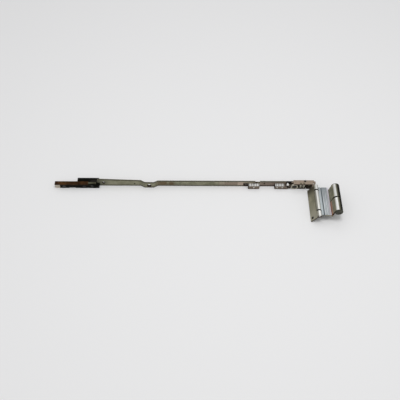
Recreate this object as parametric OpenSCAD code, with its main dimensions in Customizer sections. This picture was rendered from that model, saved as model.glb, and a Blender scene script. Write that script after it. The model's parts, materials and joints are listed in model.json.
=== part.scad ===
// Stay arm of a tilt-and-turn window, with its double hinge and its sliding shoe.
// It lies on its long edge: X along the arm, Y along the hinge pins, Z up from the surface it lies on.
// The origin is midway between the two frame screws, on the underside of the frame leaf.

/* [Frame leaf] */
// Width of the screw foot, across the hinge
foot_w = 24; // [22:0.5:28]
// Length of the screw foot, along the hinge
foot_len = 36; // [34:1:44]
// Sheet thickness of the frame leaf and of the knuckle leaf
sheet_t = 2.5; // [2:0.1:3]
// Distance between the two screw holes
screw_pitch = 24; // [18:0.5:25]
// Diameter of a screw hole
screw_d = 4.5; // [3.5:0.1:5.2]
// Diameter of a countersink at the surface
screw_head_d = 8.4; // [7:0.1:9]
// Distance from the screw line to the outer hinge axis
screw_to_axis = 19.5; // [19:0.5:22]

/* [Outer hinge] */
// Outside diameter of the outer barrel
outer_d = 14; // [13:0.5:16]
// Diameter of the outer hinge pin
outer_pin_d = 7; // [6:0.1:7.4]
// Height of the outer hinge axis over the foot's underside
outer_axis_h = 25; // [24:0.5:30]
// Length of the outer barrel between its end caps
outer_len = 54; // [50:1:58]
// Shift of the outer barrel along its pin, away from the arm
outer_drop = 1.6; // [0:0.1:3]
// Thickness of an end cap
cap_t = 1.5; // [1:0.1:2]
// Wall of the bush in the upper knuckle
bush_wall = 0.8; // [0.6:0.1:1]

/* [Inner hinge] */
// Distance between the two hinge axes, across the hinge
axis_span = 31.5; // [31:0.5:34]
// Outside diameter of the inner barrel
inner_d = 7.2; // [6.8:0.2:8.4]
// Diameter of the inner hinge pin
inner_pin_d = 3.2; // [2.6:0.1:3.4]
// Length of the bracket leaf and of the inner barrel
leaf_len = 65; // [62:1:70]
// Width of the bracket leaf, from its free edge to the inner axis
leaf_w = 20.5; // [19:0.5:22]
// Sheet thickness of the bracket
leaf_t = 2; // [1.6:0.1:2.2]
// Slope of the bracket leaf
leaf_angle = 56; // [52:1:60]
// Length of the middle knuckle
middle_len = 41; // [36:1:43]
// Thickness of the washers between the knuckles
washer_t = 1.4; // [1:0.1:1.8]

/* [Link plate] */
// Length of the link plate along the hinge
link_len = 57; // [54:1:58]
// Thickness of the link plate
link_t = 2; // [1.6:0.1:2.4]
// Width of the smooth strip, from the inner axis to the crease
strip_w = 8.5; // [8:0.1:9.2]
// Width of the ribbed part
ribbed_w = 12.5; // [11:0.1:13]
// Fall of the strip from the inner axis to the crease
crease_drop = 1.5; // [1:0.1:2]
// Depth of the crease
crease_depth = 1.1; // [0.6:0.1:1.3]
// Number of ribs
rib_count = 4; // [3:1:5]
// Height of a rib
rib_h = 0.6; // [0.3:0.1:0.8]

/* [Arm] */
// Distance from the shoe's pivot to the hinge end of the arm
arm_reach = 392; // [380:1:440]
// Thickness of the arm
arm_t = 3; // [2.5:0.1:3.5]
// Width of the arm along most of its length
arm_w = 11.6; // [11.2:0.1:12.4]
// Width of the arm beside the shoe
arm_wide = 16; // [14:0.5:18]
// Distance from the bracket leaf's middle to the arm
arm_offset = 45; // [44:0.5:50]
// Distance from the pivot to the middle of the joggle
joggle_at = 101; // [80:1:120]
// Length of the joggle
joggle_len = 30; // [26:1:36]
// Depth of the joggle
joggle_depth = 4; // [2.5:0.1:5]
// Diameter of the hole in the joggle
joggle_hole_d = 4.6; // [4:0.1:5]

/* [Guide blocks] */
// Length of the sliding guide block
block_len = 20; // [18:0.5:24]
// Length of the fixed guide block
fixed_block_len = 23.6; // [22:0.2:26]
// Height of the guide blocks
block_h = 8.3; // [7.5:0.1:9]
// Depth of the guide blocks in front of the arm
block_depth = 6.2; // [5:0.1:7]
// Travel of the sliding block
block_travel = 12; // [4:0.5:14]

/* [Catch lever] */
// Diameter of the lever's eye
eye_d = 12; // [11:0.1:12]
// Length of the lever, from its pivot to its tip
lever_len = 20; // [17:0.5:21]
// Thickness of the lever
lever_t = 2.4; // [1.6:0.1:2.6]
// Diameter of the lever's pivot rivet
lever_pin_d = 4; // [3:0.1:4.6]

/* [Shoe] */
// Length of the shoe
shoe_len = 78; // [70:1:90]
// Distance from the pivot to the shoe's arm end
shoe_nose = 12; // [11:0.5:14]
// Height of the shoe's body
shoe_h = 8.5; // [8:0.1:9.5]
// Depth of the shoe's body in front of the arm
shoe_depth = 5.4; // [5:0.1:6.5]
// Length of the nylon tip
tip_len = 9; // [7:0.5:12]
// Length of the back rail
rail_len = 39.5; // [36:0.5:42]
// Depth of the back rail behind the arm
rail_depth = 6; // [4.5:0.1:7]
// Diameter of the shoe's pivot
pivot_d = 5; // [4:0.1:5.4]

/* [Hidden] */

$fn = 64;
// Radial clearance of a pin in its hole
fit = 0.05;
// Clearance between faces that slide past each other
gap = 0.3;
// Overrun of a cut past the face that it opens
over = 1;

// Space between two knuckles, with the washer in it
knuckle_gap = washer_t + gap;
// Depth of a washer's rim below the knuckles
washer_inset = 1.1;

// Outer hinge
outer_r = outer_d / 2;
outer_x = screw_to_axis;
outer_z = outer_axis_h;
outer_mid = -outer_drop;
outer_y0 = outer_mid - outer_len / 2;
outer_y1 = outer_mid + outer_len / 2;
lower_end = outer_mid - knuckle_gap / 2;
upper_start = outer_mid + knuckle_gap / 2;

// Inner hinge
inner_r = inner_d / 2;
inner_x = outer_x - axis_span;
inner_z = leaf_w * sin(leaf_angle) + leaf_t / 2 * cos(leaf_angle);
leaf_y0 = -leaf_len / 2;
leaf_y1 = leaf_len / 2;

// Link plate
crease_x = inner_x + strip_w;
crease_w = 2;
ribbed_x1 = crease_x + ribbed_w;
ribbed_top = inner_z + link_t / 2 - crease_drop;
ribbed_bottom = ribbed_top - link_t;
bevel_w = 3;
bevel_drop = 0.6 * link_t;
link_rivet_d = 4;
link_rivet_x = crease_x + ribbed_w / 2;
link_rivet_pitch = 30;
link_rivet_top = ribbed_top - 0.6 * link_t;

// Knee beside the link plate, from which a flank rises to touch the outer barrel
knee = [ribbed_x1 + 2 * gap, ribbed_bottom];
knee_to_axis = [outer_x, outer_z] - knee;
flank_angle = atan2(knee_to_axis[1], knee_to_axis[0]) + asin(outer_r / norm(knee_to_axis));
flank_len = sqrt(knee_to_axis * knee_to_axis - outer_r * outer_r);
flank_top = knee + flank_len * [cos(flank_angle), sin(flank_angle)];
flank_inner_top = flank_top + sheet_t * [sin(flank_angle), -cos(flank_angle)];
foot_x1 = knee[0] + sheet_t;
foot_x0 = foot_x1 - foot_w;

// Arm
arm_y = arm_offset;
arm_front = arm_y - arm_t / 2;
arm_back = arm_y + arm_t / 2;
arm_end_x = inner_x - 1;
pivot_x = arm_end_x - arm_reach;
tongue_w = 11;
pivot_z = tongue_w / 2;
shoulder_x = pivot_x + 8;
shoulder_run = 2;
joggle_x = pivot_x + joggle_at;
joggle_x0 = joggle_x - joggle_len / 2;
joggle_x1 = joggle_x + joggle_len / 2;
joggle_run = 7;
joggle_sink = 1.7;
arm_neck_w = arm_w + 0.9;
end_round = 5;
arm_hole_x = pivot_x + 20;
arm_hole_d = 4.2;
arm_hole_sink = 0.9;
small_hole_x = joggle_x0 - 11;
small_hole_d = 3;
groove_w = 1;
groove_depth = 0.4;
groove_from = 12;
groove_to_block = 20;

// Bracket
tab_front = arm_front - leaf_t;
tab_len = 40;
tab_x0 = arm_end_x - tab_len;
flange_depth = 6;
flange_y0 = arm_front - flange_depth;
flange_bottom = max(arm_w, eye_d) + gap;
flange_round = 3;
tab_top = flange_bottom + leaf_t;
tab_round = 4;
neck_from = 9;
leaf_top_gap = 12;
leaf_hole_d = 3.5;
leaf_hole_edge = 5;
bracket_rivet_d = 4;

// Guide blocks
block_y0 = arm_front - block_depth;
slot_h = 4.2;
slot_z = block_h / 2;
key_len = 10;
block_to_end = 116;
block_x0 = arm_end_x - block_to_end;
block_x1 = block_x0 + block_len;
block_mid = block_x0 + block_len / 2;
fixed_block_to_end = 69;
fixed_block_x0 = arm_end_x - fixed_block_to_end;
fixed_block_x1 = fixed_block_x0 + fixed_block_len;
fixed_slope = 7;
block_rivet_d = 3;
fixed_rivet_inset = 4.5;
block_chamfer = 0.9;
block_groove_w = 1;
block_groove_pitch = 3;
keeper_t = 1.2;
notch_x = block_mid + 3;
notch_len = 8;
notch_depth = 2;
catch_hole_x = block_x1 + 9;
catch_hole_z = arm_w - 3.4;
catch_hole_d = 4;
stop_d = 3;
stop_x = fixed_block_x1 - stop_d / 5;
stop_z = block_h + 0.4;
fixed_rivet_x = [fixed_block_x0 + fixed_rivet_inset, fixed_block_x1 - fixed_slope - block_rivet_d];
// Breadth of a rivet's head, as a multiple of its shank, and the head's height
rivet_head = 1.8;
rivet_crown = 1.2;

// Catch lever
lever_x = tab_x0 + eye_d / 2;
lever_z = eye_d / 2;
lever_washer_t = 0.8;
lever_y1 = tab_front - lever_washer_t - gap / 2;
lever_y0 = lever_y1 - lever_t;
lever_tail_h = 4.6;
bracket_rivet_x = [arm_end_x - 2 * bracket_rivet_d, lever_x + eye_d / 2 + 1.5 * bracket_rivet_d];
lever_head = 1.5;
lever_crown = 0.9;
eye_rim_w = 1.2;
eye_rim_h = 0.6;

// Pair of springs between the flange and the lever's tail
spring_d = 4.2;
spring_wire = 0.9;
spring_x = [lever_x + lever_len / 2 + 0.6, lever_x + lever_len - 4];
spring_y = tab_front - gap - spring_d / 2;
spring_turns = 4;
spring_z0 = lever_tail_h + gap;
spring_post_d = 2.2;
spring_post_len = 2.5;

// Shoe
shoe_x1 = pivot_x + shoe_nose;
shoe_x0 = shoe_x1 - shoe_len;
shoe_y1 = arm_front - gap;
shoe_y0 = shoe_y1 - shoe_depth;
lug_x0 = pivot_x - 7;
lug_x1 = pivot_x + 7;
lug_depth = 3.4;
lug_top = shoe_h + 2;
nose_drop = 2;
relief_x0 = shoe_x0 + tip_len + 15;
relief_len = 13;
relief_h = 1.6;
strip_t = 1.6;
rail_x1 = pivot_x + shoe_nose - 1;
rail_x0 = rail_x1 - rail_len;
rail_y0 = arm_back + gap;
rail_y1 = rail_y0 + rail_depth;
rail_slant = 2;
spacer_x1 = pivot_x - tongue_w / 2 - 2 * gap;
shoe_screw_d = 4;
shoe_screw_crown = 0.8;
shoe_screw_x = [shoe_x0 + tip_len + 7, spacer_x1 - 8];

// Colours of the finishes
olive = [0.45, 0.43, 0.35];
bar_steel = [0.48, 0.44, 0.38];
silver = [0.66, 0.69, 0.70];
zinc = [0.75, 0.75, 0.75];
black = [0.06, 0.05, 0.04];
bronze = [0.32, 0.20, 0.10];
ivory = [0.76, 0.71, 0.64];

// A round bar along Y
module bar_y(x, z, y0, y1, d) {
  translate([x, y0, z]) rotate([-90, 0, 0]) cylinder(d = d, h = y1 - y0);
}

// A cone along Y, from diameter d0 at y0 to d1 at y1
module cone_y(x, z, y0, y1, d0, d1) {
  translate([x, y0, z]) rotate([-90, 0, 0]) cylinder(d1 = d0, d2 = d1, h = y1 - y0);
}

// An outline drawn in X and Z, made solid from y0 to y1
module plate_xz(y0, y1) {
  translate([0, y1, 0]) rotate([90, 0, 0]) linear_extrude(height = y1 - y0) children();
}

// A block from its low corner to its high corner
module block(low, high) {
  translate(low) cube(high - low);
}

// A domed rivet head on the face at y, its crown towards +Y or -Y
module dome_y(x, z, y, d, height, towards) {
  ball_r = (d * d / 4 + height * height) / (2 * height);
  intersection() {
    translate([x, y + towards * (height - ball_r), z]) sphere(r = ball_r);
    bar_y(x, z, min(y, y + towards * height), max(y, y + towards * height), d);
  }
}

// Frame leaf: screw foot, upright wall, sloping flank and lower knuckle
module frame_leaf() {
  wall_cut = foot_len / 2;
  wall_side = 4;
  bend = sheet_t * tan((90 - flank_angle) / 2);
  color(olive) difference() {
    union() {
      block([foot_x0, -foot_len / 2, 0], [foot_x1, foot_len / 2, sheet_t]);
      translate([knee[0], 0, 0]) rotate([90, 0, 90]) linear_extrude(height = sheet_t)
        polygon([
          [outer_y0, knee[1] - bend], [outer_y0, knee[1] - wall_side], [-wall_cut, 0],
          [lower_end, 0], [lower_end, knee[1] - bend]
        ]);
      plate_xz(outer_y0, lower_end) polygon([
        [knee[0], knee[1] - bend], knee, flank_top, flank_inner_top, [foot_x1, knee[1] - bend]
      ]);
      bar_y(outer_x, outer_z, outer_y0, lower_end, outer_d);
    }
    bar_y(outer_x, outer_z, outer_y0 - over, lower_end + over, outer_pin_d);
    for (side = [-1, 1]) translate([0, side * screw_pitch / 2, 0]) {
      translate([0, 0, -over]) cylinder(d = screw_d, h = sheet_t + 2 * over);
      translate([0, 0, sheet_t - (screw_head_d - screw_d) / 2])
        cylinder(d1 = screw_d, d2 = screw_head_d, h = (screw_head_d - screw_d) / 2);
    }
  }
}

// Pin fixed in the lower knuckle, on which the upper knuckle turns
module outer_hinge_pin() {
  color(zinc) bar_y(outer_x, outer_z, outer_y0, outer_y1 - gap, outer_pin_d);
}

// End cap with a bevelled rim
module hinge_cap(y, towards) {
  rim = cap_t / 2;
  bar_y(outer_x, outer_z, min(y, y + towards * rim), max(y, y + towards * rim), outer_d);
  low_d = towards < 0 ? outer_d - cap_t : outer_d;
  high_d = towards < 0 ? outer_d : outer_d - cap_t;
  bevel_y = y + towards * rim;
  bevel_end = bevel_y + towards * rim;
  cone_y(outer_x, outer_z, min(bevel_y, bevel_end), max(bevel_y, bevel_end), low_d, high_d);
}

module outer_hinge_cap_lower() {
  color(black) hinge_cap(outer_y0, -1);
}

module outer_hinge_cap_upper() {
  color(black) hinge_cap(outer_y1, 1);
}

// Section of the link plate: falling strip, crease, ribs and the bevel at the knee
module link_section() {
  half = link_t / 2;
  ribs_x0 = crease_x + crease_w / 2;
  ribs_x1 = ribbed_x1 - bevel_w;
  pitch = (ribs_x1 - ribs_x0) / rib_count;
  polygon([
    [inner_x, inner_z - half], [inner_x, inner_z + half], [crease_x - crease_w / 2, ribbed_top],
    [crease_x, ribbed_top - crease_depth], [ribs_x0, ribbed_top], [ribs_x1, ribbed_top],
    [ribbed_x1, ribbed_top - bevel_drop], [ribbed_x1, ribbed_bottom],
    [crease_x - crease_w / 2, ribbed_bottom]
  ]);
  for (i = [0:rib_count - 1]) translate([ribs_x0 + (i + 0.5) * pitch, ribbed_top])
    polygon([[-pitch / 3, -rib_h], [pitch / 3, -rib_h], [pitch / 3, 0], [0, rib_h], [-pitch / 3, 0]]);
}

// Link plate with the middle knuckle of the inner hinge
module link_plate() {
  relief = inner_r + gap;
  color(silver) difference() {
    union() {
      plate_xz(-link_len / 2, link_len / 2) link_section();
      bar_y(inner_x, inner_z, -middle_len / 2, middle_len / 2, inner_d);
    }
    bar_y(inner_x, inner_z, -link_len, link_len, inner_pin_d + 2 * fit);
    for (side = [-1, 1]) {
      low = side < 0 ? -link_len : middle_len / 2;
      high = side < 0 ? -middle_len / 2 : link_len;
      block(
        [inner_x - relief, low, inner_z - relief],
        [inner_x + relief, high, inner_z + relief]
      );
      translate([link_rivet_x, side * link_rivet_pitch / 2, ribbed_bottom - over])
        cylinder(d = link_rivet_d, h = link_rivet_top - ribbed_bottom + over);
    }
  }
}

// Leaf under the link plate, turned up at the knee and rolled into the upper knuckle
module knuckle_leaf() {
  leaf_x0 = crease_x + crease_w;
  leaf_z0 = ribbed_bottom - sheet_t;
  bend = sheet_t * tan(flank_angle / 2);
  color(olive) difference() {
    union() {
      plate_xz(upper_start, outer_y1) polygon([
        [leaf_x0, leaf_z0], [knee[0] + bend, leaf_z0], flank_inner_top, flank_top, knee, [leaf_x0, knee[1]]
      ]);
      block([leaf_x0, outer_y0, leaf_z0], [ribbed_x1, upper_start, ribbed_bottom]);
      bar_y(outer_x, outer_z, upper_start, outer_y1, outer_d);
    }
    bar_y(outer_x, outer_z, upper_start - over, outer_y1 + over, outer_pin_d + 2 * fit + 2 * bush_wall);
    for (side = [-1, 1]) translate([link_rivet_x, side * link_rivet_pitch / 2, leaf_z0 - over])
      cylinder(d = link_rivet_d, h = sheet_t + 2 * over);
  }
}

// Rivets that join the link plate and the knuckle leaf
module link_rivets() {
  leaf_z0 = ribbed_bottom - sheet_t;
  color(silver) for (side = [-1, 1]) translate([link_rivet_x, side * link_rivet_pitch / 2, 0]) {
    translate([0, 0, leaf_z0]) cylinder(d = link_rivet_d, h = link_rivet_top - leaf_z0);
    translate([0, 0, leaf_z0 - rivet_crown])
      cylinder(d1 = link_rivet_d, d2 = rivet_head * link_rivet_d, h = rivet_crown);
  }
}

// Bush pressed into the upper knuckle
module outer_hinge_bush() {
  bore = outer_pin_d + 2 * fit;
  color(bronze) difference() {
    bar_y(outer_x, outer_z, upper_start, outer_y1, bore + 2 * bush_wall);
    bar_y(outer_x, outer_z, upper_start - over, outer_y1 + over, bore);
  }
}

// A washer along Y whose rim lies below the knuckles beside it
module hinge_washer(x, z, y, knuckle_d, pin_d) {
  difference() {
    bar_y(x, z, y, y + washer_t, knuckle_d - 2 * washer_inset);
    bar_y(x, z, y - over, y + washer_t + over, pin_d + 2 * fit);
  }
}

// Washer between the two knuckles of the outer hinge
module outer_hinge_washer() {
  color(black) hinge_washer(outer_x, outer_z, upper_start - washer_t, outer_d, outer_pin_d);
}

// Washers between the three knuckles of the inner hinge
module inner_hinge_washers() {
  color(black) for (y = [-middle_len / 2 - washer_t, middle_len / 2])
    hinge_washer(inner_x, inner_z, y, inner_d, inner_pin_d);
}

// Outline of the arm in X and Z
module arm_outline() {
  polygon([
    [pivot_x, 0], [arm_end_x, 0], [arm_end_x, arm_w - end_round], [arm_end_x - end_round, arm_w],
    [joggle_x1, arm_w], [joggle_x0, arm_neck_w], [shoulder_x + shoulder_run, arm_wide],
    [shoulder_x, tongue_w], [pivot_x, tongue_w]
  ]);
  translate([pivot_x, pivot_z]) circle(d = tongue_w);
  translate([arm_end_x - end_round, arm_w - end_round]) circle(r = end_round);
}

// Course of the arm in X and Y, with the joggle towards the front
module arm_course() {
  half = arm_t / 2;
  start = pivot_x - tongue_w;
  run = [
    [start, 0], [joggle_x0, 0], [joggle_x0 + joggle_run, -joggle_depth],
    [joggle_x1 - joggle_run, -joggle_depth], [joggle_x1, 0], [arm_end_x + over, 0]
  ];
  last = len(run) - 1;
  polygon(concat(
    [for (i = [0:last]) run[i] + [0, half]],
    [for (i = [0:last]) run[last - i] - [0, half]]
  ));
}

// A hole through the arm, countersunk from its front face at y
module sunk_hole(x, z, y, d, sink) {
  bar_y(x, z, y - over, y + arm_t + over, d);
  cone_y(x, z, y, y + sink, d + 2 * sink, d);
}

// Stay arm: flat bar on edge, with its holes, slot, notch and groove
module stay_arm() {
  hole_y0 = arm_y - joggle_depth - arm_t;
  hole_y1 = arm_back + over;
  color(bar_steel) difference() {
    intersection() {
      plate_xz(arm_y - joggle_depth - arm_t, arm_back + over) arm_outline();
      translate([0, arm_y, -over]) linear_extrude(height = arm_wide + 2 * over) arm_course();
    }
    bar_y(pivot_x, pivot_z, hole_y0, hole_y1, pivot_d + 2 * fit);
    sunk_hole(arm_hole_x, arm_wide / 2, arm_front, arm_hole_d, arm_hole_sink);
    bar_y(small_hole_x, arm_neck_w / 2, hole_y0, hole_y1, small_hole_d);
    sunk_hole(joggle_x, arm_w / 2, arm_front - joggle_depth, joggle_hole_d, joggle_sink);
    plate_xz(hole_y0, hole_y1) block_slot();
    block([notch_x, hole_y0, arm_w - notch_depth], [notch_x + notch_len, hole_y1, arm_w + over]);
    bar_y(catch_hole_x, catch_hole_z, hole_y0, hole_y1, catch_hole_d);
    block(
      [joggle_x1 + groove_from, hole_y0, (arm_w - groove_w) / 2],
      [block_x0 - groove_to_block, arm_front + groove_depth, (arm_w + groove_w) / 2]
    );
    for (x = bracket_rivet_x) bar_y(x, arm_w / 2, hole_y0, hole_y1, bracket_rivet_d);
    bar_y(lever_x, lever_z, hole_y0, hole_y1, lever_pin_d);
    for (x = fixed_rivet_x) bar_y(x, slot_z, hole_y0, hole_y1, block_rivet_d);
    bar_y(stop_x, stop_z, hole_y0, hole_y1, stop_d);
  }
}

// Slot in which the sliding block's key runs
module block_slot() {
  x0 = block_mid - key_len / 2 - block_travel - gap;
  x1 = block_mid + key_len / 2 + gap;
  translate([x0 + slot_h / 2, slot_z - slot_h / 2]) square([x1 - x0 - slot_h, slot_h]);
  for (x = [x0 + slot_h / 2, x1 - slot_h / 2]) translate([x, slot_z]) circle(d = slot_h);
}

// A point of the bracket leaf, s up its slope from the free edge and n across its sheet
function on_leaf(s, n) = [
  inner_x + (s - leaf_w) * cos(leaf_angle) - n * sin(leaf_angle),
  inner_z + (s - leaf_w) * sin(leaf_angle) + n * cos(leaf_angle)
];

// Section of the bracket leaf between two distances up its slope
module leaf_section(s0, s1) {
  half = leaf_t / 2;
  polygon([on_leaf(s0, -half), on_leaf(s1, -half), on_leaf(s1, half), on_leaf(s0, half)]);
}

// Bracket: tab on the arm, flange over the lever, sloping leaf and the two outer knuckles
module arm_bracket() {
  hole_at = on_leaf(leaf_hole_edge, 0);
  color(olive) difference() {
    union() {
      plate_xz(tab_front, arm_front) tab_outline();
      translate([0, 0, flange_bottom]) linear_extrude(height = leaf_t) flange_outline();
      plate_xz(leaf_y0, arm_y - leaf_top_gap) leaf_section(0, leaf_w);
      plate_xz(leaf_y0, tab_front) leaf_section(neck_from, leaf_w);
      bar_y(inner_x, inner_z, leaf_y0, -middle_len / 2 - knuckle_gap, inner_d);
      bar_y(inner_x, inner_z, middle_len / 2 + knuckle_gap, leaf_y1, inner_d);
    }
    bar_y(inner_x, inner_z, leaf_y0 - over, leaf_y1 + over, inner_pin_d);
    block(
      [inner_x - inner_r - gap, -middle_len / 2 - knuckle_gap, inner_z - inner_r - gap],
      [inner_x + inner_d, middle_len / 2 + knuckle_gap, inner_z + inner_d]
    );
    translate([hole_at[0], leaf_y0 + leaf_hole_edge, hole_at[1]]) rotate([0, -leaf_angle, 0])
      cylinder(d = leaf_hole_d, h = 4 * leaf_t, center = true);
    for (x = bracket_rivet_x) bar_y(x, arm_w / 2, tab_front - over, arm_y, bracket_rivet_d);
    bar_y(lever_x, lever_z, tab_front - over, arm_y, lever_pin_d);
    for (x = spring_x) translate([x, spring_y, 0]) cylinder(d = spring_post_d, h = tab_top + over);
  }
}

// Outline of the bracket's flange in X and Y, round at its front corner by the leaf
module flange_outline() {
  x0 = tab_x0 + tab_round;
  translate([x0, flange_y0 + flange_round]) square([arm_end_x - x0, arm_back - flange_y0 - flange_round]);
  translate([x0, flange_y0]) square([arm_end_x - x0 - flange_round, flange_round]);
  translate([arm_end_x - flange_round, flange_y0 + flange_round]) circle(r = flange_round);
}

// Outline of the bracket's tab in X and Z
module tab_outline() {
  difference() {
    translate([tab_x0, 0]) square([tab_len, tab_top]);
    translate([tab_x0 + tab_round, tab_top - tab_round]) difference() {
      translate([-tab_round - over, 0]) square(tab_round + over);
      circle(r = tab_round);
    }
  }
}

// Rivets through the tab and the arm, domed at the back and flush in front
module bracket_rivets() {
  color(olive) for (x = bracket_rivet_x) {
    bar_y(x, arm_w / 2, tab_front, arm_back, bracket_rivet_d);
    dome_y(x, arm_w / 2, arm_back, rivet_head * bracket_rivet_d, rivet_crown, 1);
  }
}

// Pin fixed in the bracket's two knuckles
module inner_hinge_pin() {
  color(zinc) bar_y(inner_x, inner_z, leaf_y0, leaf_y1, inner_pin_d);
}

// Grooves across the top of a guide block, from x0 to x1
module block_grooves(x0, x1) {
  count = floor((x1 - x0) / block_groove_pitch);
  start = (x0 + x1 - (count - 1) * block_groove_pitch) / 2;
  for (i = [0:count - 1]) translate([start + i * block_groove_pitch, block_h])
    circle(d = block_groove_w);
}

// Guide block fixed beside the lever, with a sloping end
module fixed_guide_block() {
  color(zinc) difference() {
    plate_xz(block_y0, arm_front) difference() {
      polygon([
        [fixed_block_x0 + block_chamfer, 0], [fixed_block_x1 - block_chamfer, 0],
        [fixed_block_x1, block_chamfer], [fixed_block_x1, block_h / 3],
        [fixed_block_x1 - fixed_slope, block_h], [fixed_block_x0 + block_chamfer, block_h],
        [fixed_block_x0, block_h - block_chamfer], [fixed_block_x0, block_chamfer]
      ]);
      block_grooves(fixed_block_x0 + block_chamfer, fixed_block_x1 - fixed_slope);
    }
    for (x = fixed_rivet_x) bar_y(x, slot_z, block_y0 - over, arm_y, block_rivet_d);
  }
}

// Rivets of the fixed block, flush in front and domed at the back
module fixed_block_rivets() {
  color(zinc) for (x = fixed_rivet_x) {
    bar_y(x, slot_z, block_y0, arm_back, block_rivet_d);
    dome_y(x, slot_z, arm_back, rivet_head * block_rivet_d, rivet_crown, 1);
  }
}

// Bright stop pin above the fixed block's sloping end
module stop_pin() {
  head_d = 5;
  head_t = 2;
  shank = 3;
  color(zinc) {
    bar_y(stop_x, stop_z, arm_front - shank, arm_back, stop_d);
    dome_y(stop_x, stop_z, arm_front - shank, head_d, head_t, -1);
    dome_y(stop_x, stop_z, arm_back, head_d, head_t / 2, 1);
  }
}

// Shouldered rivet on which the lever turns
module lever_pivot() {
  head_y = lever_y0 - gap / 2;
  color(olive) {
    bar_y(lever_x, lever_z, head_y, arm_back, lever_pin_d);
    cone_y(lever_x, lever_z, head_y - lever_crown, head_y, lever_pin_d, lever_head * lever_pin_d);
    dome_y(lever_x, lever_z, arm_back, rivet_head * lever_pin_d, rivet_crown, 1);
  }
}

// Washer between the tab and the lever
module lever_washer() {
  color(zinc) difference() {
    bar_y(lever_x, lever_z, tab_front - lever_washer_t, tab_front, 2 * lever_pin_d);
    bar_y(lever_x, lever_z, tab_front - 2 * lever_washer_t, arm_y, lever_pin_d);
  }
}

// Catch lever: round eye with a raised rim, and a tail that ends in a half circle
module catch_lever() {
  tip_r = lever_tail_h / 2;
  color(olive) difference() {
    union() {
      plate_xz(lever_y0, lever_y1) {
        translate([lever_x, lever_z]) circle(d = eye_d);
        translate([lever_x, 0]) square([lever_len - tip_r, lever_tail_h]);
        translate([lever_x + lever_len - tip_r, tip_r]) circle(r = tip_r);
      }
      difference() {
        bar_y(lever_x, lever_z, lever_y0 - eye_rim_h, lever_y1, eye_d);
        bar_y(lever_x, lever_z, lever_y0 - over, lever_y0, eye_d - 2 * eye_rim_w);
      }
    }
    bar_y(lever_x, lever_z, lever_y0 - over, lever_y1 + over, lever_pin_d + 2 * fit);
  }
}

// Posts that locate the springs under the flange
module spring_post() {
  head_t = 1;
  post_bottom = flange_bottom - spring_post_len;
  color(olive) for (x = spring_x) translate([x, spring_y, 0]) {
    translate([0, 0, post_bottom]) cylinder(d = spring_post_d, h = tab_top - post_bottom);
    translate([0, 0, tab_top]) cylinder(d1 = 1.4 * spring_post_d, d2 = spring_post_d, h = head_t);
  }
}

// Coil springs, each a round wire swept along a helix
module lever_spring() {
  steps = 14;
  sides = 8;
  rings = spring_turns * steps;
  mean_r = (spring_d - spring_wire) / 2;
  rise = flange_bottom - spring_z0 - spring_wire;
  points = [
    for (i = [0:rings]) for (j = [0:sides - 1])
      let (
        turn = 360 * i / steps,
        around = 360 * j / sides,
        out = mean_r + spring_wire / 2 * cos(around),
        up = spring_wire / 2 * (1 + sin(around)) + rise * i / rings
      )
      [out * cos(turn), out * sin(turn), up]
  ];
  skin = [
    for (i = [0:rings - 1]) for (j = [0:sides - 1])
      let (k = (j + 1) % sides)
      [i * sides + j, i * sides + k, (i + 1) * sides + k, (i + 1) * sides + j]
  ];
  ends = [[for (j = [0:sides - 1]) sides - 1 - j], [for (j = [0:sides - 1]) rings * sides + j]];
  color(zinc) for (x = spring_x) translate([x, spring_y, spring_z0])
    polyhedron(points = points, faces = concat(skin, ends));
}

// Sliding guide block with the key that runs in the arm's slot
module sliding_guide_block() {
  key_h = slot_h - 2 * gap;
  key_half = (key_len - key_h) / 2;
  back = arm_front - gap / 2;
  color(zinc) difference() {
    union() {
      plate_xz(block_y0, back) difference() {
        polygon([
          [block_x0 + block_chamfer, 0], [block_x1 - block_chamfer, 0],
          [block_x1, block_chamfer], [block_x1, block_h - block_chamfer],
          [block_x1 - block_chamfer, block_h], [block_x0 + block_chamfer, block_h],
          [block_x0, block_h - block_chamfer], [block_x0, block_chamfer]
        ]);
        block_grooves(block_x0 + block_chamfer, block_x1 - block_chamfer);
      }
      plate_xz(back - over, arm_back + gap / 2) {
        translate([block_mid - key_half, slot_z - key_h / 2]) square([2 * key_half, key_h]);
        for (side = [-1, 1]) translate([block_mid + side * key_half, slot_z]) circle(d = key_h);
      }
    }
    bar_y(block_mid, slot_z, block_y0 - over, arm_back + over, block_rivet_d);
  }
}

// Keeper plate behind the arm
module block_keeper() {
  keeper_h = slot_h + 3;
  keeper_len = key_len + 2;
  y0 = arm_back + gap / 2;
  color(olive) difference() {
    block(
      [block_mid - keeper_len / 2, y0, slot_z - keeper_h / 2],
      [block_mid + keeper_len / 2, y0 + keeper_t, slot_z + keeper_h / 2]
    );
    bar_y(block_mid, slot_z, y0 - over, y0 + keeper_t + over, block_rivet_d);
  }
}

// Rivet through the sliding block and its keeper
module block_rivet() {
  back = arm_back + gap / 2 + keeper_t;
  color(zinc) {
    bar_y(block_mid, slot_z, block_y0, back, block_rivet_d);
    dome_y(block_mid, slot_z, back, rivet_head * block_rivet_d, rivet_crown, 1);
  }
}

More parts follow.
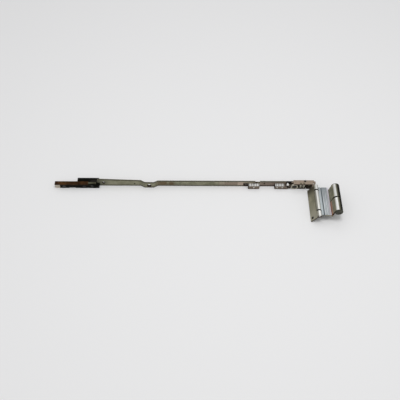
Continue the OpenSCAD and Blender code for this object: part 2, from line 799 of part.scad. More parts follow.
// Shoe body: black bar in front of the arm, with a pocket for the pivot lug and a relief underneath
module shoe_body() {
  tip_x = shoe_x0 + tip_len;
  color(black) difference() {
    block([tip_x, shoe_y0, 0], [shoe_x1, shoe_y1, shoe_h]);
    block([lug_x0, shoe_y1 - lug_depth, -over], [lug_x1, shoe_y1 + over, shoe_h + over]);
    bar_y(pivot_x, pivot_z, shoe_y0 - over, shoe_y1, pivot_d);
    for (x = shoe_screw_x) bar_y(x, shoe_h / 2, shoe_y0 - over, shoe_y1 + over, shoe_screw_d);
    block([lug_x1, shoe_y0 - over, shoe_h - nose_drop], [shoe_x1 + over, shoe_y1 + over, shoe_h + over]);
    plate_xz(shoe_y0 - over, shoe_y1 + over) polygon([
      [relief_x0, -over], [relief_x0, 0], [relief_x0 + relief_h, relief_h],
      [relief_x0 + relief_len - relief_h, relief_h], [relief_x0 + relief_len, 0],
      [relief_x0 + relief_len, -over]
    ]);
  }
}

// Bronze wear strip on top of the shoe
module shoe_strip() {
  color(bronze) block([shoe_x0, shoe_y0, shoe_h], [lug_x0, arm_y, shoe_h + strip_t]);
}

// Nylon tip that leads the shoe into its track
module shoe_tip() {
  round_r = shoe_h / 2;
  color(ivory) plate_xz(shoe_y0, shoe_y1) {
    translate([shoe_x0 + round_r, 0]) square([tip_len - round_r, shoe_h]);
    translate([shoe_x0 + round_r, round_r]) circle(r = round_r);
  }
}

// Steel lug that carries the pivot
module shoe_lug() {
  color(olive) difference() {
    block([lug_x0, shoe_y1 - lug_depth, 0], [lug_x1, shoe_y1, lug_top]);
    bar_y(pivot_x, pivot_z, shoe_y0, shoe_y1 + over, pivot_d);
  }
}

// Back rail with a slanted lead, and the spacer that joins it to the shoe's body
module shoe_rail() {
  rail_h = shoe_h + strip_t;
  color(black) difference() {
    union() {
      plate_xz(rail_y0, rail_y1) polygon([
        [rail_x0, 0], [rail_x1, 0], [rail_x1, rail_h], [rail_x0 + rail_slant, rail_h]
      ]);
      block([rail_x0 + rail_slant, shoe_y1, 0], [spacer_x1, rail_y0, shoe_h]);
    }
    bar_y(pivot_x, pivot_z, rail_y0 - over, rail_y1 + over, pivot_d);
    bar_y(shoe_screw_x[1], shoe_h / 2, shoe_y1 - over, rail_y1 + over, shoe_screw_d);
  }
}

// Pivot riveted in the lug and the back rail, turning in the arm
module shoe_pivot() {
  color(zinc) bar_y(pivot_x, pivot_z, shoe_y0, rail_y1, pivot_d);
}

// Screws with low heads in the shoe's front face
module shoe_screws() {
  ends = [shoe_y1, rail_y1];
  color(zinc) for (i = [0, 1]) {
    bar_y(shoe_screw_x[i], shoe_h / 2, shoe_y0, ends[i], shoe_screw_d);
    dome_y(shoe_screw_x[i], shoe_h / 2, shoe_y0, 1.5 * shoe_screw_d, shoe_screw_crown, -1);
  }
}

frame_leaf();
outer_hinge_pin();
outer_hinge_cap_lower();
link_plate();
knuckle_leaf();
link_rivets();
outer_hinge_bush();
outer_hinge_washer();
outer_hinge_cap_upper();
inner_hinge_washers();
stay_arm();
arm_bracket();
bracket_rivets();
inner_hinge_pin();
fixed_guide_block();
fixed_block_rivets();
stop_pin();
lever_pivot();
lever_washer();
spring_post();
lever_spring();
catch_lever();
sliding_guide_block();
block_keeper();
block_rivet();
shoe_body();
shoe_strip();
shoe_tip();
shoe_lug();
shoe_rail();
shoe_pivot();
shoe_screws();
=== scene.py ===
"""Looks of the tilt-turn window stay: camera, studio, finishes and three small pieces on the arm."""
import json
import math

import bmesh
import bpy
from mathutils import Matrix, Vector


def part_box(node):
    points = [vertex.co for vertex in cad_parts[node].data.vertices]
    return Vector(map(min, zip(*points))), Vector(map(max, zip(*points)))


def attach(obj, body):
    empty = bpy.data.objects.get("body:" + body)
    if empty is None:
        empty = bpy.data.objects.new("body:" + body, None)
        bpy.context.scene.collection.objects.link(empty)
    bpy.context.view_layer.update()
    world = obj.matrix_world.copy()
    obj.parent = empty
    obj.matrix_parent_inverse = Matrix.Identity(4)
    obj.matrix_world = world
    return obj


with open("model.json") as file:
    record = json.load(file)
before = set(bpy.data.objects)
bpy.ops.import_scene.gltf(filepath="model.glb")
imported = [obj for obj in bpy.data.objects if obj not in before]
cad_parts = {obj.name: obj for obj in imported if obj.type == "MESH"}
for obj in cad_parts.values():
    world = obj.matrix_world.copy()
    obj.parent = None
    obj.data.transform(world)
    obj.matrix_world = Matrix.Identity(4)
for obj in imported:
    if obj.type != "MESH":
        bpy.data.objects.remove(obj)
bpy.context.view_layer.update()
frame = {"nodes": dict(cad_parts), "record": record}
nodes = frame["nodes"]
scene = bpy.context.scene
MM = 0.001

# Camera, fitted to the photograph's 400-pixel frame
IMAGE_PX = 400
FOCAL_PX = 600
SENSOR_MM = 36
CAMERA_AZIMUTH = -0.35
CAMERA_ELEVATION = 54.1
CAMERA_DISTANCE = 1.0515
CAMERA_TARGET = Vector((-0.2139, 0.0127, 0.0))


def add_camera():
    azimuth = math.radians(CAMERA_AZIMUTH)
    elevation = math.radians(CAMERA_ELEVATION)
    forward = Vector((
        math.sin(azimuth) * math.cos(elevation),
        math.cos(azimuth) * math.cos(elevation),
        -math.sin(elevation),
    ))
    data = bpy.data.cameras.new("camera")
    data.sensor_width = SENSOR_MM
    data.lens = SENSOR_MM * FOCAL_PX / IMAGE_PX
    data.clip_start = 0.01
    camera = bpy.data.objects.new("camera", data)
    camera.location = CAMERA_TARGET - forward * CAMERA_DISTANCE
    camera.rotation_euler = forward.to_track_quat("-Z", "Y").to_euler()
    scene.collection.objects.link(camera)
    scene.camera = camera


# Studio: pale floor, soft lamps and a sky that is bright overhead
FLOOR_COLOUR = (0.80, 0.80, 0.80, 1)
FLOOR_SIZE = 12.0
FLOOR_ROUGHNESS = 0.9
SKY_HORIZON = (0.16, 0.16, 0.16, 1)
SKY_OVERHEAD = (0.95, 0.95, 0.96, 1)
SKY_OVERHEAD_AT = 0.85
SKY_STRENGTH = 0.88


def add_floor():
    half = FLOOR_SIZE / 2
    mesh = bpy.data.meshes.new("floor")
    corners = [(-half, -half, 0), (half, -half, 0), (half, half, 0), (-half, half, 0)]
    mesh.from_pydata(corners, [], [(0, 1, 2, 3)])
    floor = bpy.data.objects.new("floor", mesh)
    scene.collection.objects.link(floor)
    material = bpy.data.materials.new("floor_paper")
    material.use_nodes = True
    shader = material.node_tree.nodes["Principled BSDF"]
    shader.inputs["Base Color"].default_value = FLOOR_COLOUR
    shader.inputs["Roughness"].default_value = FLOOR_ROUGHNESS
    mesh.materials.append(material)


def add_area(name, location, target, size, power):
    data = bpy.data.lights.new(name, "AREA")
    data.shape = "DISK"
    data.size = size
    data.energy = power
    lamp = bpy.data.objects.new(name, data)
    lamp.location = location
    direction = Vector(target) - Vector(location)
    lamp.rotation_euler = direction.to_track_quat("-Z", "Y").to_euler()
    scene.collection.objects.link(lamp)


def add_sky():
    world = bpy.data.worlds.new("studio")
    world.use_nodes = True
    tree = world.node_tree
    back = tree.nodes["Background"]
    coords = tree.nodes.new("ShaderNodeTexCoord")
    split = tree.nodes.new("ShaderNodeSeparateXYZ")
    gradient = tree.nodes.new("ShaderNodeValToRGB")
    horizon, overhead = gradient.color_ramp.elements
    horizon.position = 0.0
    horizon.color = SKY_HORIZON
    overhead.position = SKY_OVERHEAD_AT
    overhead.color = SKY_OVERHEAD
    tree.links.new(coords.outputs["Generated"], split.inputs[0])
    tree.links.new(split.outputs["Z"], gradient.inputs[0])
    tree.links.new(gradient.outputs[0], back.inputs["Color"])
    back.inputs["Strength"].default_value = SKY_STRENGTH
    scene.world = world


# Finishes: blotched and grained surfaces, with zones of another tone by place or by facing, many of them
# painted highlights and painted shade
def new_material(name):
    material = bpy.data.materials.new(name)
    material.use_nodes = True
    return material, material.node_tree, material.node_tree.nodes["Principled BSDF"]


def coordinates(tree, stretch):
    coords = tree.nodes.new("ShaderNodeTexCoord")
    mapping = tree.nodes.new("ShaderNodeMapping")
    mapping.inputs["Scale"].default_value = stretch
    tree.links.new(coords.outputs["Object"], mapping.inputs["Vector"])
    return mapping.outputs["Vector"]


def component(tree, source, axis):
    """One component of the place ("Object") or of the facing ("Normal") of a point on the piece."""
    coords = tree.nodes.new("ShaderNodeTexCoord")
    split = tree.nodes.new("ShaderNodeSeparateXYZ")
    tree.links.new(coords.outputs[source], split.inputs[0])
    return split.outputs[axis]


def noise(tree, vector, scale, detail=4.0):
    node = tree.nodes.new("ShaderNodeTexNoise")
    node.inputs["Scale"].default_value = scale
    node.inputs["Detail"].default_value = detail
    tree.links.new(vector, node.inputs["Vector"])
    return node.outputs["Fac"]


def ramp(tree, value, stops):
    """Two colours by value: stops are two pairs of position and colour."""
    node = tree.nodes.new("ShaderNodeValToRGB")
    elements = node.color_ramp.elements
    for element, (position, colour) in zip(elements, stops):
        element.position = position
        element.color = (*colour, 1)
    tree.links.new(value, node.inputs["Fac"])
    return node.outputs["Color"]


def blend(tree, factor, first, second, mode="MIX"):
    node = tree.nodes.new("ShaderNodeMix")
    node.data_type = "RGBA"
    node.blend_type = mode
    for socket, value in ((node.inputs[0], factor), (node.inputs[6], first), (node.inputs[7], second)):
        if isinstance(value, float):
            socket.default_value = value
        elif isinstance(value, tuple):
            socket.default_value = (*value, 1)
        else:
            tree.links.new(value, socket)
    return node.outputs[2]


def remap(tree, value, low, high, to_low=0.0, to_high=1.0):
    """A value mapped from low..high to to_low..to_high, held at both ends; high may be below low."""
    node = tree.nodes.new("ShaderNodeMapRange")
    for name, number in (("From Min", low), ("From Max", high), ("To Min", to_low), ("To Max", to_high)):
        node.inputs[name].default_value = number
    tree.links.new(value, node.inputs["Value"])
    return node.outputs["Result"]


def math_node(tree, operation, first, second):
    node = tree.nodes.new("ShaderNodeMath")
    node.operation = operation
    for socket, value in zip(node.inputs, (first, second)):
        if isinstance(value, float):
            socket.default_value = value
        else:
            tree.links.new(value, socket)
    return node.outputs[0]


def mix_value(tree, factor, first, second):
    node = tree.nodes.new("ShaderNodeMix")
    for socket, value in ((node.inputs[0], factor), (node.inputs[2], first), (node.inputs[3], second)):
        if isinstance(value, float):
            socket.default_value = value
        else:
            tree.links.new(value, socket)
    return node.outputs[0]


def bump(tree, value, strength, distance):
    node = tree.nodes.new("ShaderNodeBump")
    node.inputs["Strength"].default_value = strength
    node.inputs["Distance"].default_value = distance
    tree.links.new(value, node.inputs["Height"])
    return node.outputs["Normal"]


# Masks for zones: each returns a function that adds its nodes to a material
def place(axis, low, high):
    """0 at low and 1 at high along an axis, in millimetres."""
    return lambda tree: remap(tree, component(tree, "Object", axis), low * MM, high * MM)


def facing(axis, low, high):
    """0 to 1 as the normal's component along an axis goes from low to high."""
    return lambda tree: remap(tree, component(tree, "Normal", axis), low, high)


def both(*masks):
    """All the masks multiplied together."""
    def mask(tree):
        result = masks[0](tree)
        for other in masks[1:]:
            result = math_node(tree, "MULTIPLY", result, other(tree))
        return result
    return mask


def span(axis, low, high, soft=0.5):
    """1 between low and high along an axis, in millimetres, with soft ends."""
    return both(place(axis, low - soft, low), place(axis, high + soft, high))


def ring(x, z, inner, outer, soft=0.2):
    """1 between two radii round an axis along Y, in millimetres."""
    def mask(tree):
        across = math_node(tree, "SUBTRACT", component(tree, "Object", "X"), x * MM)
        up = math_node(tree, "SUBTRACT", component(tree, "Object", "Z"), z * MM)
        square = math_node(tree, "ADD", math_node(tree, "MULTIPLY", across, across),
                           math_node(tree, "MULTIPLY", up, up))
        radius = math_node(tree, "SQRT", square, 0.0)
        past_inner = remap(tree, radius, (inner - soft) * MM, inner * MM)
        before_outer = remap(tree, radius, (outer + soft) * MM, outer * MM)
        return math_node(tree, "MULTIPLY", past_inner, before_outer)
    return mask


def near(point, radius, soft=0.4):
    """1 inside a ball round a point, in millimetres."""
    def mask(tree):
        coords = tree.nodes.new("ShaderNodeTexCoord")
        node = tree.nodes.new("ShaderNodeVectorMath")
        node.operation = "DISTANCE"
        node.inputs[1].default_value = [v * MM for v in point]
        tree.links.new(coords.outputs["Object"], node.inputs[0])
        return remap(tree, node.outputs["Value"], (radius + soft) * MM, radius * MM)
    return mask


def stripes(axis, start, pitch, low, high):
    """0 to 1 as the distance to the nearest of a row of lines goes from low to high, in millimetres."""
    def mask(tree):
        along = math_node(tree, "SUBTRACT", component(tree, "Object", axis), start * MM)
        distance = math_node(tree, "PINGPONG", along, pitch / 2 * MM)
        return remap(tree, distance, low * MM, high * MM)
    return mask


def spotted(mask, scale, low, high):
    """A mask broken up by noise."""
    def broken(tree):
        patches = remap(tree, noise(tree, coordinates(tree, (1, 1, 1)), scale), low, high)
        return math_node(tree, "MULTIPLY", mask(tree), patches)
    return broken


# A zone darker than DULL_BELOW is also rough and not metallic
DULL_BELOW = 0.06
DULL_ROUGHNESS = 0.85
METAL_SPECULAR = 0.2
PLASTIC_SPECULAR = 0.08
EVEN = (1, 1, 1)
TONE_STOPS = (0.35, 0.65)
GRAIN_STOPS = (0.3, 0.7)
GRAIN_SCALE = 900.0
GRAIN_SHADE = (0.78, 0.78, 0.78)
PEBBLE_SCALE = 2200.0
PEBBLE_BLOTCH = 160.0
BUMP_DEPTH = 0.04 * MM


def metal(name, dark, light, roughness, grain=EVEN, metallic=0.4, blotch=90.0, zones=(),
          specular=METAL_SPECULAR):
    """Plated metal: blotches of two tones, drawn grain, uneven gloss, and zones of other tones, painted
    highlights and painted shade among them.
    """
    material, tree, shader = new_material(name)
    tone = noise(tree, coordinates(tree, EVEN), blotch)
    colour = ramp(tree, tone, zip(TONE_STOPS, (dark, light)))
    gloss = 1.0
    for mask, zone_colour in zones:
        factor = mask(tree)
        colour = blend(tree, factor, colour, zone_colour)
        gloss = mix_value(tree, factor, gloss, 0.0 if max(zone_colour) < DULL_BELOW else 1.0)
    lines = noise(tree, coordinates(tree, grain), GRAIN_SCALE, 3.0)
    shade = ramp(tree, lines, zip(GRAIN_STOPS, (GRAIN_SHADE, EVEN)))
    tree.links.new(blend(tree, 1.0, colour, shade, "MULTIPLY"), shader.inputs["Base Color"])
    rough = remap(tree, lines, *GRAIN_STOPS, roughness - 0.06, roughness + 0.08)
    if zones:
        rough = mix_value(tree, gloss, DULL_ROUGHNESS, rough)
        tree.links.new(math_node(tree, "MULTIPLY", gloss, metallic), shader.inputs["Metallic"])
    else:
        shader.inputs["Metallic"].default_value = metallic
    tree.links.new(rough, shader.inputs["Roughness"])
    tree.links.new(bump(tree, lines, 0.2, BUMP_DEPTH), shader.inputs["Normal"])
    shader.inputs["Specular IOR Level"].default_value = specular
    return material


def plastic(name, colour, second, roughness):
    """Moulded plastic with a fine pebbled skin."""
    material, tree, shader = new_material(name)
    plain = coordinates(tree, EVEN)
    tone = noise(tree, plain, PEBBLE_BLOTCH)
    tree.links.new(ramp(tree, tone, zip(TONE_STOPS, (colour, second))), shader.inputs["Base Color"])
    fine = noise(tree, plain, PEBBLE_SCALE, 2.0)
    rough = remap(tree, fine, *GRAIN_STOPS, roughness - 0.05, roughness + 0.1)
    tree.links.new(rough, shader.inputs["Roughness"])
    tree.links.new(bump(tree, fine, 0.3, BUMP_DEPTH), shader.inputs["Normal"])
    shader.inputs["Specular IOR Level"].default_value = PLASTIC_SPECULAR
    return material


# Places on the part, in millimetres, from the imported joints, mounts and boxes
joint_rows = frame["record"]["behaviour"]["joints"]
joint_at = {row["name"]: [v / MM for v in row.get("pos_m", (0, 0, 0))] for row in joint_rows}
mount_at = {row["name"]: [v / MM for v in row["pos_m"]] for row in frame["record"]["mounts"]}
INNER_X, _, INNER_Z = joint_at["inner_hinge"]
OUTER_X, _, OUTER_Z = joint_at["outer_hinge"]
LEVER_X, _, LEVER_Z = joint_at["lever_pivot"]
SHOE_X = joint_at["shoe_pivot"][0]
JOGGLE_X, _, JOGGLE_Z = mount_at["joggle_hole"]
ARM_HOLE_X, _, ARM_HOLE_Z = mount_at["arm_hole"]
PLATE_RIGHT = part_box("link_plate")[1].x / MM

# More places, in millimetres: where zones begin and end
KNUCKLE_JOINT_Y = 21.35
KNUCKLE_JOINT_HALF = 1.1
SLIM_BARREL_END_Y = (34, 33)
SLIM_HIGHLIGHT_Y = (8, -12)
BARREL_JOINT_Y = (-2.9, -0.3)
BARREL_JOINT_Z = (15.5, 16.0)
RUST_Z = (13.0, 14.0)
FRAME_END_Z = (14.0, 15.0)
CREASE_X = INNER_X + 8.5
RIBS_X0 = CREASE_X + 1
RIB_PITCH = 2.125
PLATE_SHADE_Y = (-4, 28)
FLANGE_Z = 14.3
FLANGE_Y = (32.0, 34.0)
FLANGE_CORNER = (-13.6, 38.4, FLANGE_Z)
TAB_Y = (33.5, 36)
TAB_Z = (12.6, 12.2)
LEAF_PALE_Y = (5, -30)
LEAF_SHADE_Y = (16, 29)
LEAF_SHADE_Z = (16.5, 15.5)
LEAF_HOLE = (-20.67, -27.5, 4.7)
ARM_TAN_X = (-182, -178.5)
ARM_BROWN_X = (-169, -149)
ARM_RUBBED_X = (-146, -138)
ARM_DARK_X = (-112, -104)
ARM_SHADE_X = (-372, -394)
ARM_LOW_Z = (3.8, 2.4)
SLOT_X = (-137, -129)
SLOT_Z = (9.5, 8.5)
BETWEEN_BLOCKS_X = (-109, -82)
BETWEEN_BLOCKS_Z = (4.6, 2.8)
NOTCH_X = (-120.5, -112.5)
NOTCH_Z = (8.4, 10.4)
SHOE_CORNER_Z = (9.5, 7.5)
BLOCK_SLOPE_X = (-66.5, -64.5)
BLOCK_RIB_PITCH = 4.4
BLOCK_LOW_Z = (2.4, 0.8)
FIXED_BLOCK_LEFT_X = (-82.5, -81.2)
SLIDING_BLOCK_LEFT_X = (-129.5, -128.2)
PIN_FOOT_Z = (8.8, 7.4)

# Tones of the zones, many of them painted highlights and painted shade
# Painted highlights laid along the barrels' crests
CREST_HIGHLIGHT_WHITE = (0.95, 0.95, 0.92)
CREST_HIGHLIGHT = (0.80, 0.80, 0.77)
# Painted highlight for the flange's corner
CORNER_HIGHLIGHT = (0.70, 0.70, 0.67)
RUST = (0.44, 0.24, 0.155)
DARK_BROWN = (0.045, 0.030, 0.020)
# Painted shade and dark reflection on the thick barrel's far side
FAR_SIDE_SHADE = (0.018, 0.0175, 0.015)
# Near-black painted shade in gaps, joints and holes, at the arm's end, round the lever and on the guide
# blocks' left sides
SHADE_BLACK = (0.012, 0.010, 0.008)
SLIM_FLANK = (0.36, 0.35, 0.29)
LEAF_PALE = (0.36, 0.345, 0.265)
LEAF_SHADE = (0.10, 0.09, 0.062)
FLANGE_TAN = (0.33, 0.26, 0.20)
ARM_TAN = (0.42, 0.365, 0.27)
ARM_BROWN = (0.34, 0.27, 0.205)
ARM_RUBBED = (0.54, 0.43, 0.34)
ARM_DARK = (0.25, 0.19, 0.15)
ARM_RUST = (0.17, 0.12, 0.06)
ARM_SHADE = (0.15, 0.145, 0.10)
# Painted shade along the lower edges near the floor, and low between the guide blocks
ARM_LOW_SHADE = (0.12, 0.112, 0.08)
ARM_TOP_EDGE = (0.085, 0.08, 0.05)
ARM_LOW_BROWN = (0.10, 0.075, 0.06)
RIB_DULL = (0.72, 0.78, 0.80)
# Painted highlight on every other rib
RIB_HIGHLIGHT = (0.95, 0.97, 0.98)
# Painted shade in the rib valleys and along the crease
RIB_VALLEY_SHADE = (0.22, 0.25, 0.27)
CREASE_SHADE = (0.15, 0.175, 0.19)
PLATE_SHADE = (0.42, 0.45, 0.46)
# Painted shade on the left side of the slim barrel's roll
PLATE_ROLL_SHADE = (0.13, 0.125, 0.095)
# Painted highlight along the link plate's right edge
PLATE_EDGE_HIGHLIGHT = (0.80, 0.78, 0.86)
BLOCK_SLOPE = (0.15, 0.11, 0.08)
BLOCK_GROOVE = (0.38, 0.38, 0.36)
# Painted shade on the guide blocks' front faces
BLOCK_FRONT_SHADE = (0.20, 0.155, 0.115)
# Painted shade along the guide blocks' lower edges
BLOCK_LOW_SHADE = (0.07, 0.055, 0.042)
# Painted shade at the stop pin's foot
PIN_FOOT_SHADE = (0.05, 0.045, 0.038)
# Painted highlight on the rim of the lever's eye
LEVER_RIM_HIGHLIGHT = (0.56, 0.53, 0.44)

front_faces = facing("Y", -0.7, -0.9)
top_faces = facing("Z", 0.5, 0.8)

# Slim barrel: painted highlight along its crest, and painted shade where its knuckles meet
gap_masks = [
    span("Y", side * KNUCKLE_JOINT_Y - KNUCKLE_JOINT_HALF, side * KNUCKLE_JOINT_Y + KNUCKLE_JOINT_HALF, 0.3)
    for side in (-1, 1)
]
gap_height = place("Z", INNER_Z - 3, INNER_Z - 2.4)
gap_width = place("X", INNER_X + 4.6, INNER_X + 4.0)
gap_zones = [(both(mask, gap_height, gap_width), SHADE_BLACK) for mask in gap_masks]
slim_barrel = both(place("Z", INNER_Z + 0.4, INNER_Z + 1.4), gap_width, place("Y", *SLIM_BARREL_END_Y))
SLIM_CREST_X = (INNER_X - 0.6, INNER_X + 1.4)
slim_barrel_zones = [
    (slim_barrel, SLIM_FLANK),
    (both(slim_barrel, span("X", *SLIM_CREST_X, 1.6)), CREST_HIGHLIGHT),
    (both(slim_barrel, span("X", *SLIM_CREST_X, 1.0), place("Y", *SLIM_HIGHLIGHT_Y)), CREST_HIGHLIGHT_WHITE),
]


def barrel_zones(crest_end, crest_tone, dark_from, dark_to):
    """Thick barrel: painted highlight on the crest, painted shade and dark reflection on the far side, and
    painted shade in the joint; places in X from the hinge's axis.
    """
    crest = span("X", OUTER_X - 3.7, OUTER_X + crest_end, 2.0)
    joint = both(
        span("Y", *BARREL_JOINT_Y, 0.3),
        span("X", OUTER_X - 7.0, OUTER_X - 1.2),
        place("Z", *BARREL_JOINT_Z),
    )
    return [
        (both(crest, place("Z", OUTER_Z + 2.0, OUTER_Z + 4.0)), crest_tone),
        (place("X", OUTER_X + dark_from, OUTER_X + dark_to), FAR_SIDE_SHADE),
        (joint, SHADE_BLACK),
    ]


knuckle_zones = barrel_zones(-1.8, CREST_HIGHLIGHT, -1.6, 2.6)
frame_zones = barrel_zones(-1.6, CREST_HIGHLIGHT_WHITE, -1.0, 3.2) + [
    (both(place("X", PLATE_RIGHT + 2.4, PLATE_RIGHT + 1.4), place("Z", *RUST_Z)), RUST),
    # painted shade on the front faces low under the link plate
    (both(front_faces, place("Z", *FRAME_END_Z)), DARK_BROWN),
]
bracket_zones = [
    (place("Y", *LEAF_PALE_Y), LEAF_PALE),
    (both(place("Y", *LEAF_SHADE_Y), place("Z", *LEAF_SHADE_Z)), LEAF_SHADE),
    # painted shade on the tab under the flange
    (both(place("Y", *TAB_Y), place("Z", *TAB_Z)), DARK_BROWN),
    (both(place("Z", FLANGE_Z - 2.4, FLANGE_Z - 2.0), place("Y", *FLANGE_Y)), FLANGE_TAN),
    # painted shade on the front faces
    (front_faces, DARK_BROWN),
    # painted shade round the leaf's hole
    (near(LEAF_HOLE, 2.5), SHADE_BLACK),
    # painted highlight at the flange's corner
    (near(FLANGE_CORNER, 1.7), CORNER_HIGHLIGHT),
] + slim_barrel_zones + gap_zones
arm_zones = [
    (place("X", *ARM_TAN_X), ARM_TAN),
    (span("X", *ARM_BROWN_X, 3), ARM_BROWN),
    (span("X", *ARM_RUBBED_X, 2), ARM_RUBBED),
    (place("X", *ARM_DARK_X), ARM_DARK),
    (spotted(span("X", JOGGLE_X + 16, JOGGLE_X + 42, 6), 120.0, 0.25, 0.55), ARM_RUST),
    (place("X", *ARM_SHADE_X), ARM_SHADE),
    # painted shade along the lower edge
    (place("Z", *ARM_LOW_Z), ARM_LOW_SHADE),
    (top_faces, ARM_TOP_EDGE),
    # painted shade at the arm's end above the shoe and beside the shoe's corner
    (place("X", SHOE_X + 9.5, SHOE_X + 8.0), SHADE_BLACK),
    (both(place("X", SHOE_X + 14.5, SHOE_X + 12.0), place("Z", *SHOE_CORNER_Z)), SHADE_BLACK),
    (both(span("X", *SLOT_X, 1), place("Z", *SLOT_Z)), DARK_BROWN),
    # painted shade round the lever under the flange
    (span("X", LEVER_X - 14, LEVER_X - 5, 1.5), SHADE_BLACK),
    # painted shade low between the guide blocks
    (both(span("X", *BETWEEN_BLOCKS_X, 2), place("Z", *BETWEEN_BLOCKS_Z)), ARM_LOW_BROWN),
    (both(span("X", *NOTCH_X, 0.8), span("Z", *NOTCH_Z, 0.4)), DARK_BROWN),
    # painted shade round the holes
    (ring(JOGGLE_X, JOGGLE_Z, 0, 3.9), DARK_BROWN),
    (ring(ARM_HOLE_X, ARM_HOLE_Z, 0, 2.9), DARK_BROWN),
]
ribbed_part = place("X", RIBS_X0 - 0.4, RIBS_X0)
rib_highlights = stripes("X", RIBS_X0 + 2.5 * RIB_PITCH, 2 * RIB_PITCH, 1.06, 0.8)
valley_shade = stripes("X", RIBS_X0, RIB_PITCH, 0.55, 0.25)
plate_zones = [
    (ribbed_part, RIB_DULL),
    # painted highlight on every other rib
    (both(rib_highlights, ribbed_part), RIB_HIGHLIGHT),
    (place("Y", *PLATE_SHADE_Y), PLATE_SHADE),
    # painted shade on the roll's left side
    (place("X", INNER_X - 0.6, INNER_X - 2.2), PLATE_ROLL_SHADE),
    # painted shade in the rib valleys and along the crease
    (both(valley_shade, place("X", RIBS_X0 - 0.2, RIBS_X0)), RIB_VALLEY_SHADE),
    (span("X", CREASE_X - 0.5, CREASE_X + 0.5, 0.5), CREASE_SHADE),
    # painted highlight along the right edge
    (place("X", PLATE_RIGHT - 4, PLATE_RIGHT - 2), PLATE_EDGE_HIGHLIGHT),
] + slim_barrel_zones + gap_zones
block_zones = [
    (place("X", *BLOCK_SLOPE_X), BLOCK_SLOPE),
    (both(stripes("X", 0, BLOCK_RIB_PITCH, 0.9, 0.5), top_faces), BLOCK_GROOVE),
    # painted shade on the front faces
    (facing("Y", -0.5, -0.8), BLOCK_FRONT_SHADE),
    # painted shade along the lower edge
    (place("Z", *BLOCK_LOW_Z), BLOCK_LOW_SHADE),
    # painted shade on the left faces and at the blocks' left ends
    (facing("X", -0.5, -0.8), SHADE_BLACK),
    (span("X", *FIXED_BLOCK_LEFT_X), SHADE_BLACK),
    (span("X", *SLIDING_BLOCK_LEFT_X), SHADE_BLACK),
]
# painted shade at the pin's foot
pin_zones = [(place("Z", *PIN_FOOT_Z), PIN_FOOT_SHADE)]
# painted highlight on the rim of the lever's eye
lever_zones = [(ring(LEVER_X, LEVER_Z, 4.8, 6.2), LEVER_RIM_HIGHLIGHT)]

# Stretch of the grain along the way a piece was drawn
ALONG_X = (0.06, 1, 1)
ALONG_Y = (1, 0.06, 1)

# Finish of each material slot
finishes = {
    "bar_steel": metal(
        "bar_steel", (0.22, 0.215, 0.135), (0.36, 0.35, 0.24), 0.42, ALONG_X, 0.25, zones=arm_zones),
    "olive_steel": metal("olive_steel", (0.10, 0.097, 0.055), (0.16, 0.15, 0.095), 0.45, ALONG_Y, 0.3),
    "silver_plate": metal(
        "silver_plate", (0.50, 0.56, 0.58), (0.64, 0.70, 0.72), 0.34, ALONG_Y, 0.35, zones=plate_zones),
    "bright_zinc": metal("bright_zinc", (0.60, 0.59, 0.56), (0.76, 0.75, 0.72), 0.38, EVEN, 0.3),
    "spring_steel": metal("spring_steel", (0.52, 0.49, 0.40), (0.70, 0.66, 0.56), 0.32),
    "black_nylon": plastic("black_nylon", (0.008, 0.007, 0.006), (0.018, 0.016, 0.014), 0.6),
    "black_steel": metal(
        "black_steel", (0.003, 0.003, 0.002), (0.010, 0.009, 0.006), 0.6, ALONG_X, 0.0, specular=0.05),
    "bronze": metal("bronze", (0.018, 0.007, 0.002), (0.075, 0.032, 0.009), 0.5, ALONG_X, 0.3, specular=0.08),
    "ivory_nylon": plastic("ivory_nylon", (0.46, 0.41, 0.33), (0.60, 0.54, 0.45), 0.45),
}

# Finishes of single nodes that differ from their slot
BARREL_TONES = ((0.19, 0.185, 0.12), (0.29, 0.275, 0.185))
BARREL_SPECULAR = 0.06
block_zinc = metal("block_zinc", (0.64, 0.64, 0.62), (0.80, 0.80, 0.78), 0.4, EVEN, 0.3, zones=block_zones)
screw_black = metal("screw_black", (0.02, 0.02, 0.02), (0.05, 0.05, 0.048), 0.5, EVEN, 0.2)
cap_steel = metal("cap_steel", (0.045, 0.045, 0.033), (0.085, 0.085, 0.066), 0.5)
node_finishes = {
    "arm_bracket": metal(
        "leaf_steel", (0.22, 0.215, 0.145), (0.31, 0.285, 0.20), 0.42, ALONG_Y, 0.25, 70.0, bracket_zones),
    "knuckle_leaf": metal(
        "barrel_steel", *BARREL_TONES, 0.34, ALONG_Y, 0.4, zones=knuckle_zones, specular=BARREL_SPECULAR),
    "frame_leaf": metal(
        "frame_steel", *BARREL_TONES, 0.34, ALONG_Y, 0.4, zones=frame_zones, specular=BARREL_SPECULAR),
    # the lever's dark tone is partly its own and partly painted shade under the flange
    "catch_lever": metal(
        "lever_steel", (0.05, 0.04, 0.026), (0.10, 0.085, 0.055), 0.4, EVEN, 0.4, zones=lever_zones),
    "stop_pin": metal("pin_zinc", (0.70, 0.69, 0.66), (0.84, 0.83, 0.80), 0.34, EVEN, 0.3, zones=pin_zones),
    "shoe_lug": metal("lug_steel", (0.055, 0.052, 0.03), (0.10, 0.095, 0.06), 0.5, ALONG_X, 0.2),
    "sliding_guide_block": block_zinc,
    "fixed_guide_block": block_zinc,
    "shoe_screws": screw_black,
    "lever_pivot": screw_black,
    "shoe_pivot": screw_black,
    "outer_hinge_cap_lower": cap_steel,
    "outer_hinge_cap_upper": cap_steel,
    "inner_hinge_washers": finishes["black_steel"],
    "outer_hinge_washer": finishes["black_steel"],
}
pressing_finish = metal("pressing", (0.022, 0.017, 0.011), (0.06, 0.045, 0.030), 0.5, ALONG_X, 0.2)


def dress_nodes():
    slots = {part["node"]: part["material_slot"] for part in frame["record"]["subparts"]}
    for name, obj in nodes.items():
        obj.data.materials.clear()
        obj.data.materials.append(node_finishes.get(name, finishes[slots[name]]))


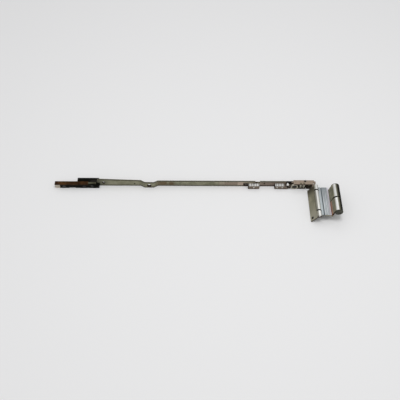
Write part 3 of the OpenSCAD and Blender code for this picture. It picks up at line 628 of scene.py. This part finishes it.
# Small pieces on the arm: a stop beside the lever's eye, a lip beside its tail and a rivet on the flange.
# Profiles are in Y and Z, or in radius and height, and ends are in X, all in millimetres
STOP_PROFILE = ((43.5, 0.2), (38.8, 0.2), (38.2, 1.0), (38.2, 4.8), (39.0, 5.8), (43.5, 7.4))
STOP_ENDS = (-58.1, -53.5)
LIP_PROFILE = ((41.5, 0.1), (38.6, 0.1), (38.0, 0.6), (38.2, 1.6), (39.8, 2.2), (41.5, 4.6))
LIP_ENDS = (-25.4, -15.4)
RIVET_PLACE = (-28.6, 44.4, FLANGE_Z)
RIVET_PROFILE = ((0.0, 1.5), (1.0, 1.4), (1.6, 1.0), (1.9, 0.4), (2.1, 0.3), (2.1, 0.0))
RIVET_SIDES = 32
PRESSING_ROUND = 0.25


def add_piece(name, form):
    """An object from a bmesh, finished as a dark pressing and riding on the arm."""
    bmesh.ops.recalc_face_normals(form, faces=form.faces)
    mesh = bpy.data.meshes.new(name)
    form.to_mesh(mesh)
    form.free()
    mesh.materials.append(pressing_finish)
    piece = bpy.data.objects.new(name, mesh)
    scene.collection.objects.link(piece)
    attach(piece, "arm")
    return piece


def add_pressing(name, profile, ends):
    """A folded strip: a profile in Y and Z drawn along X, in millimetres, with rounded edges."""
    form = bmesh.new()
    near_end, far_end = [
        [form.verts.new((x * MM, y * MM, z * MM)) for y, z in profile]
        for x in ends
    ]
    form.faces.new(near_end)
    form.faces.new(far_end[::-1])
    for i in range(len(profile)):
        form.faces.new((near_end[i - 1], near_end[i], far_end[i], far_end[i - 1]))
    piece = add_piece(name, form)
    modifier = piece.modifiers.new("edge_round", "BEVEL")
    modifier.width = PRESSING_ROUND * MM
    modifier.segments = 2
    modifier.limit_method = "ANGLE"


def add_rivet(name, place_mm, profile, sides):
    """A turned head: a profile of radius and height turned about Z, in millimetres."""
    form = bmesh.new()
    x, y, z = place_mm
    turns = [2 * math.pi * i / sides for i in range(sides)]

    def point(radius, height, turn):
        across = x + radius * math.cos(turn)
        along = y + radius * math.sin(turn)
        return form.verts.new((across * MM, along * MM, (z + height) * MM))

    top = point(*profile[0], 0.0)
    rings = [[point(radius, height, turn) for turn in turns] for radius, height in profile[1:]]
    for i in range(sides):
        form.faces.new((top, rings[0][i - 1], rings[0][i]))
        for inner, outer in zip(rings, rings[1:]):
            form.faces.new((inner[i - 1], outer[i - 1], outer[i], inner[i]))
    form.faces.new(rings[-1])
    add_piece(name, form)


add_camera()
add_floor()
add_sky()
add_area("overhead", location=(-0.1, -0.12, 1.5), target=(-0.1, 0, 0), size=0.5, power=7.5)
add_area("window", location=(-0.1, 0.95, 1.25), target=(-0.05, 0, 0), size=0.5, power=0.5)
dress_nodes()
add_pressing("lever_stop", STOP_PROFILE, STOP_ENDS)
# the tail lip's dark finish also stands for the shade in front of the tab
add_pressing("tail_lip", LIP_PROFILE, LIP_ENDS)
add_rivet("flange_rivet", RIVET_PLACE, RIVET_PROFILE, RIVET_SIDES)

scene.view_settings.view_transform = "Standard"
